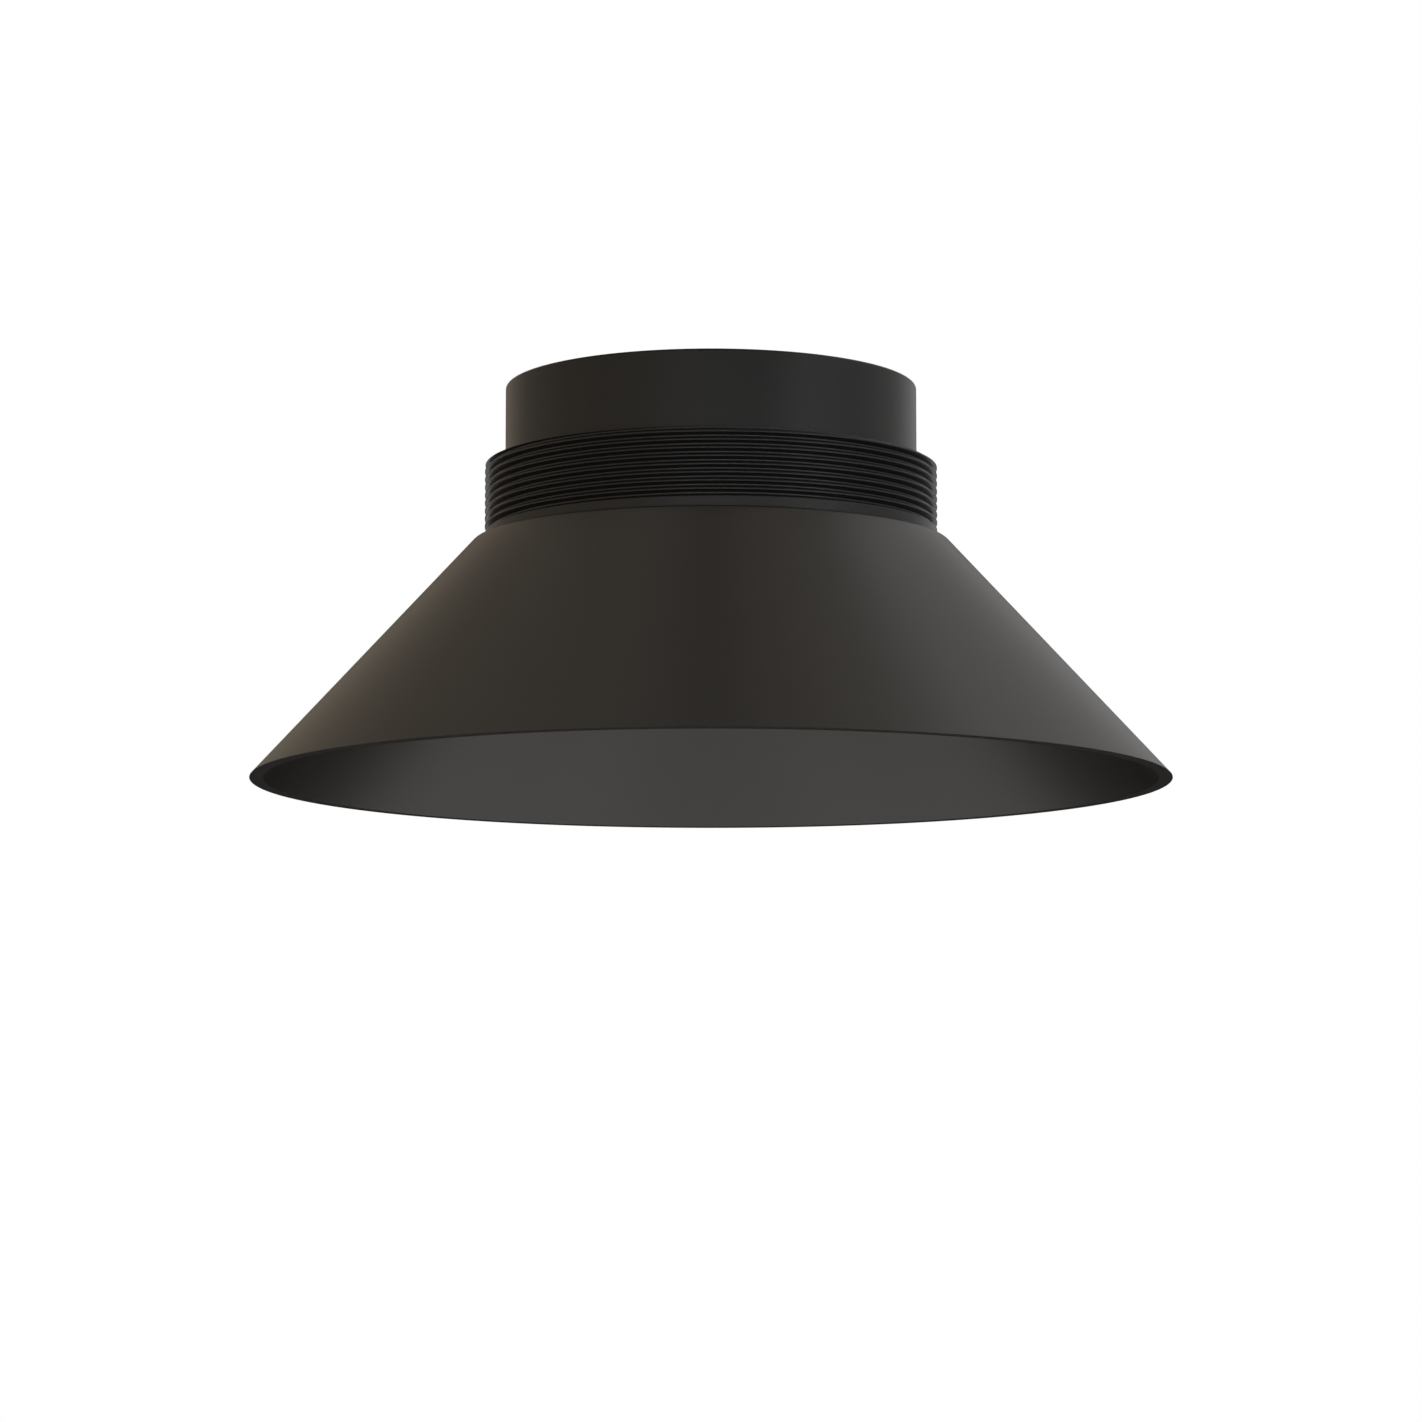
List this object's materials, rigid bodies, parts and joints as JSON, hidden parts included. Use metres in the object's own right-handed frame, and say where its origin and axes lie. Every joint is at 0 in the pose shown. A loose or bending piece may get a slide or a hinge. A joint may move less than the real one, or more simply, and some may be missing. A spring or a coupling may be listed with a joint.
{
  "type": "conical snoot shade",
  "caption": "Matte black cone that flares from a fine-threaded collar and a plain sleeve, screwing into the front of a lamp to cut glare.",
  "frame": {"origin": "centre of the open mouth, in the plane of its rim", "axes": "+Z along the round axis, from the mouth towards the lamp; -Y is the front seen in the picture; +X to the right"},
  "size_m": [0.1732, 0.1732, 0.0752],
  "materials": {
    "black_coat": "fine matte powder coat on spun aluminium, warm black",
    "black_anodised": "satin matte black over turned aluminium",
    "black_steel": "black oxide on steel screws"
  },
  "bodies": {
    "root": {"cone_shade": "black_coat", "thread_collar": "black_anodised", "neck_sleeve": "black_anodised", "clamp_ring": "black_anodised", "clamp_screw_1": "black_steel", "clamp_screw_2": "black_steel", "clamp_screw_3": "black_steel", "clamp_screw_4": "black_steel", "clamp_screw_5": "black_steel", "clamp_screw_6": "black_steel"}
  },
  "joints": []
}
